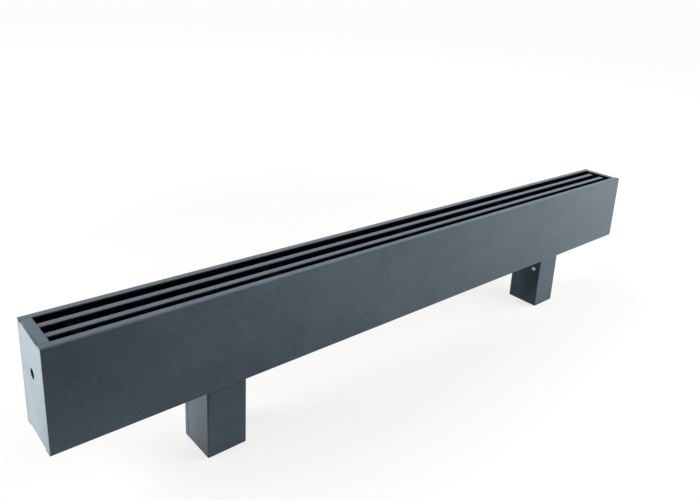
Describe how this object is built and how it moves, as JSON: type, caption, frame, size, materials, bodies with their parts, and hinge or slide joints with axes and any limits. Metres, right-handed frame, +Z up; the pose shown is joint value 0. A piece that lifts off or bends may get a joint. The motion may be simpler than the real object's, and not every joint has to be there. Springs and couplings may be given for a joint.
{
  "type": "low floor convector",
  "caption": "Low free-standing hydronic floor convector: a folded-steel casing on box feet, a drop-in bar grille, a finned copper coil and a bleed valve behind a key hole in the end.",
  "frame": {"origin": "on the floor, under the middle of the casing", "axes": "+X along the casing towards the pipe connections, +Y from the front to the rear, +Z up"},
  "size_m": [1.1, 0.08, 0.225],
  "materials": {
    "casing_paint": "satin blue-grey powder coat",
    "black_coat": "matt black powder coat",
    "galvanised_steel": "galvanised, satin",
    "copper": "drawn copper, satin",
    "fin_aluminium": "plain rolled aluminium",
    "brass": "turned brass, satin",
    "pad_rubber": "matt"
  },
  "bodies": {
    "casing": {"front_panel": "casing_paint", "rear_panel": "casing_paint", "left_end_panel": "casing_paint", "right_end_panel": "casing_paint", "left_cross_member": "galvanised_steel", "right_cross_member": "galvanised_steel", "centre_brace": "galvanised_steel", "bottom_rivets": "galvanised_steel", "rear_screws": "casing_paint", "front_ledges": "black_coat", "rear_ledges": "black_coat", "upper_front_tube": "copper", "upper_rear_tube": "copper", "lower_front_tube": "copper", "lower_rear_tube": "copper", "fin_pack": "fin_aluminium", "coil_end_plates": "galvanised_steel", "vented_return_bend": "copper", "lower_return_bend": "copper", "right_return_bend": "copper", "supply_elbow": "brass", "return_elbow": "brass", "bleed_valve_body": "brass", "coil_brackets": "galvanised_steel", "bracket_screws": "galvanised_steel", "left_foot_shell": "casing_paint", "right_foot_shell": "casing_paint", "left_foot_cover": "casing_paint", "right_foot_cover": "casing_paint", "left_foot_post": "galvanised_steel", "right_foot_post": "galvanised_steel", "left_base_plate": "galvanised_steel", "right_base_plate": "galvanised_steel", "left_floor_pad": "pad_rubber", "right_floor_pad": "pad_rubber", "foot_bolts": "galvanised_steel", "foot_nuts": "galvanised_steel", "foot_side_screws": "galvanised_steel"},
    "grille": {"front_grille_bar": "casing_paint", "rear_grille_bar": "casing_paint", "grille_ties": "black_coat", "grille_studs": "black_coat"},
    "bleed_screw": {"bleed_screw": "brass"}
  },
  "joints": [
    {"name": "grille_shift", "type": "slide", "parent": "casing", "child": "grille", "axis": [1, 0, 0], "range_m": [0, 0.0195]},
    {"name": "bleed_screw_turn", "type": "hinge", "parent": "casing", "child": "bleed_screw", "pos_m": [-0.5265, -0.003, 0.179], "axis": [-1, 0, 0], "range_deg": [0, 360]}
  ]
}
